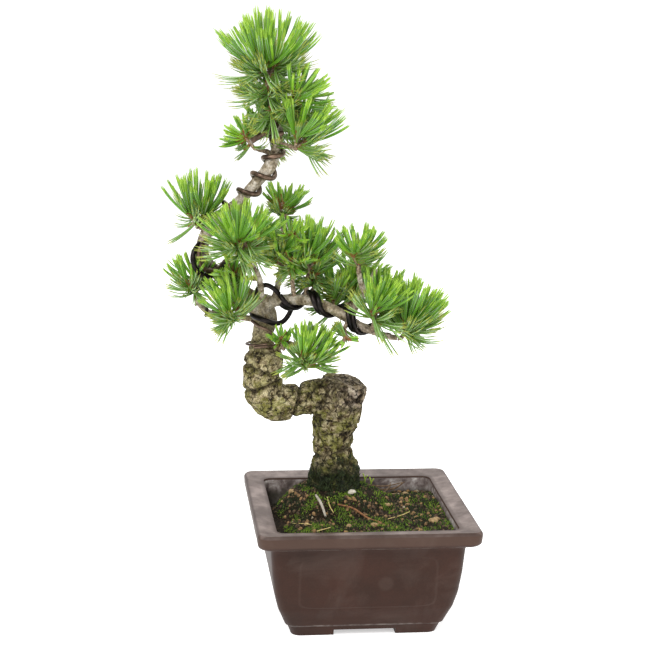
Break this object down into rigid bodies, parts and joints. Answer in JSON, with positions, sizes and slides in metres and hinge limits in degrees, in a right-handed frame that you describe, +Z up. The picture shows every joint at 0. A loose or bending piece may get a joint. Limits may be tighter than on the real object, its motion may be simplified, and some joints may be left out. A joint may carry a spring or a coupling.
{
  "type": "japanese white pine bonsai",
  "caption": "Small white pine bonsai with a twisted trunk, wired boughs and tufts of short needles, growing in a square brown stoneware pot.",
  "frame": {"origin": "under the middle of the whole plant's box, on the level the pot's feet stand on", "axes": "+Z up, +X to the right of the pot's front as the picture shows it, +Y from the front of the pot to its back"},
  "size_m": [0.2246, 0.1644, 0.4452],
  "materials": {
    "stoneware": "unglazed brown stoneware, faint sheen",
    "soil": "damp soil with moss and grit",
    "bark": "rough grey-tan bark with algae",
    "training_wire": "dark brown anodised aluminium wire",
    "needles": "yellow-green needles with pale bands"
  },
  "bodies": {
    "root": {"apex_needles": "needles", "back_needles": "needles", "bough_back_needles": "needles", "bough_tip_needles": "needles", "bough_wire": "training_wire", "centre_needles": "needles", "crown_back_needles": "needles", "crown_left_needles": "needles", "crown_right_needles": "needles", "crown_side_needles": "needles", "crown_wire": "training_wire", "fork_twig": "bark", "front_needles": "needles", "front_twig": "bark", "left_low_needles": "needles", "left_tip_needles": "needles", "left_top_needles": "needles", "left_twig": "bark", "left_twig_wire": "training_wire", "low_side_needles": "needles", "low_tip_needles": "needles", "low_twig": "bark", "middle_needles": "needles", "pot": "stoneware", "right_back_needles": "needles", "right_bough": "bark", "right_front_needles": "needles", "right_rear_needles": "needles", "right_top_needles": "needles", "ring_wire": "training_wire", "shade_needles": "needles", "soil": "soil", "trunk": "bark", "upper_needles": "needles", "upper_side_needles": "needles", "upper_twig": "bark"}
  },
  "joints": []
}
